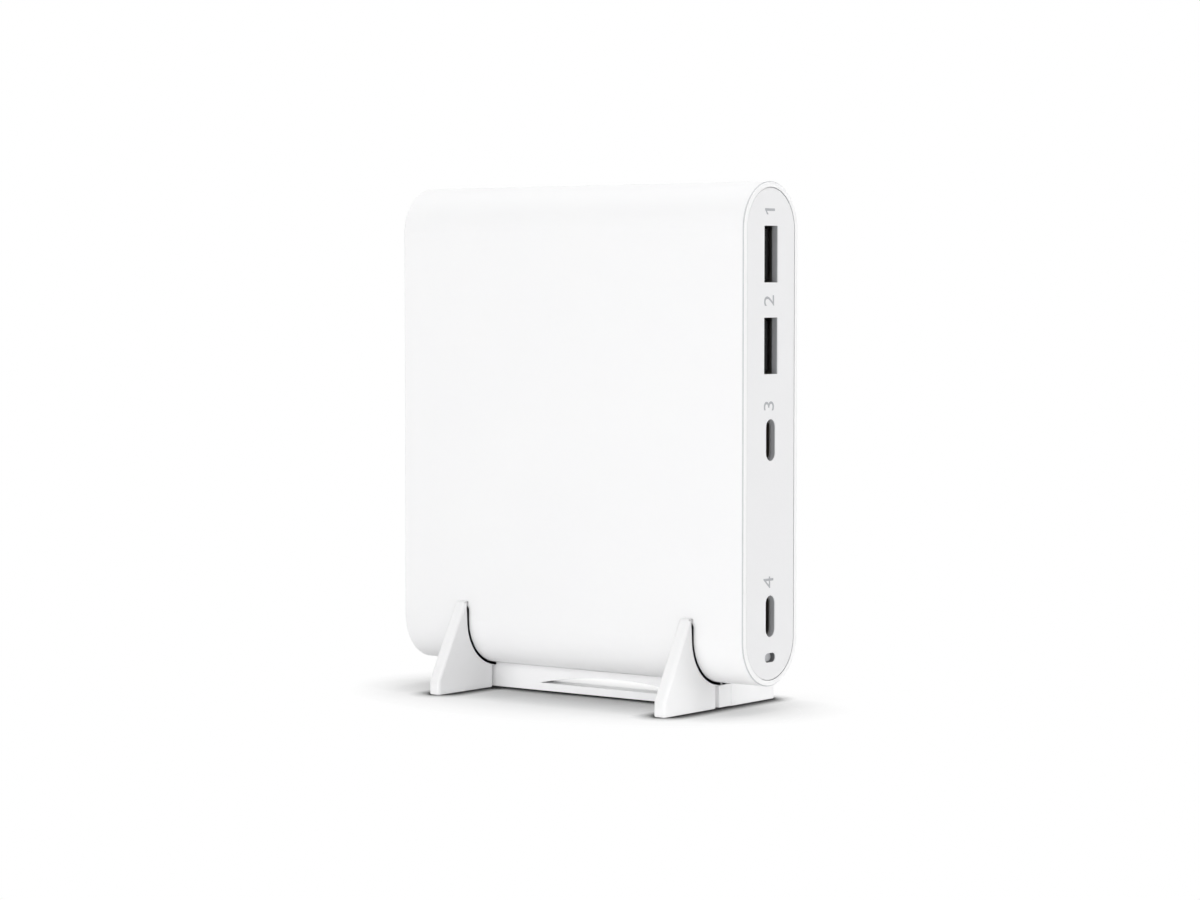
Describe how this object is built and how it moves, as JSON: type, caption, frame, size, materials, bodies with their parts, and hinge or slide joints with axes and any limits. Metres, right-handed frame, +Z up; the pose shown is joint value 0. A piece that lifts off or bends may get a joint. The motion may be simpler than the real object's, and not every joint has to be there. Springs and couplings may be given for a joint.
{
  "type": "multi port usb desktop charger",
  "caption": "Slim upright desktop charger of long-round section, with power sockets on one narrow end and a mains inlet on the other, standing on edge in a low slotted stand.",
  "frame": {"origin": "on the table, under the middle of the charger's length and thickness", "axes": "+X towards the end with the power sockets, +Z up, -Y the broad side that faces the viewer"},
  "size_m": [0.0988, 0.0432, 0.1187],
  "materials": {
    "white_moulding": "white moulded PC and ABS, gloss",
    "black_moulding": "black moulded PBT, satin",
    "light_window": "grey tinted acrylic light pipe, moulded",
    "plated_steel": "nickel plated steel strip",
    "plated_contact": "gold plated copper alloy",
    "board_laminate": "green glass epoxy laminate",
    "ferrite": "sintered ferrite, matt",
    "winding": "enamelled copper wire",
    "winding_tape": "polyester tape over copper",
    "can": "drawn aluminium can",
    "film_capacitor": "moulded box",
    "disc_capacitor": "epoxy dipped ceramic disc",
    "component_black": "moulded epoxy package",
    "heat_sheet": "rolled aluminium sheet",
    "thermal_silicone": "filled silicone pad",
    "film_sheet": "polyester insulating film",
    "led_package": "surface mount light package"
  },
  "bodies": {
    "root": {"bridge_rectifier": "component_black", "bulk_capacitor_1": "can", "bulk_capacitor_2": "can", "bulk_capacitor_3": "can", "choke_base": "black_moulding", "choke_core": "ferrite", "choke_windings": "winding", "front_heat_spreader": "heat_sheet", "housing_sleeve": "white_moulding", "inlet_body": "black_moulding", "inlet_pins": "plated_steel", "inlet_plate": "white_moulding", "insulation_sheet": "film_sheet", "led_light_pipe": "light_window", "main_circuit_board": "board_laminate", "mains_fuse": "component_black", "output_capacitors": "can", "output_inductors": "component_black", "port_controllers": "component_black", "port_plate": "white_moulding", "power_switches": "component_black", "rear_heat_spreader": "heat_sheet", "stand_crossbar": "white_moulding", "stand_leg_left": "white_moulding", "stand_leg_right": "white_moulding", "status_led": "led_package", "thermal_pads": "thermal_silicone", "transformer_bobbin": "black_moulding", "transformer_core": "ferrite", "transformer_pad": "thermal_silicone", "transformer_winding": "winding_tape", "usb_a_lower_contacts": "plated_contact", "usb_a_lower_insulator": "black_moulding", "usb_a_lower_shell": "plated_steel", "usb_a_upper_contacts": "plated_contact", "usb_a_upper_insulator": "black_moulding", "usb_a_upper_shell": "plated_steel", "usb_c_lower_contacts": "plated_contact", "usb_c_lower_insulator": "black_moulding", "usb_c_lower_shell": "plated_steel", "usb_c_upper_contacts": "plated_contact", "usb_c_upper_insulator": "black_moulding", "usb_c_upper_shell": "plated_steel", "x_capacitor": "film_capacitor", "y_capacitor": "disc_capacitor"}
  },
  "joints": []
}
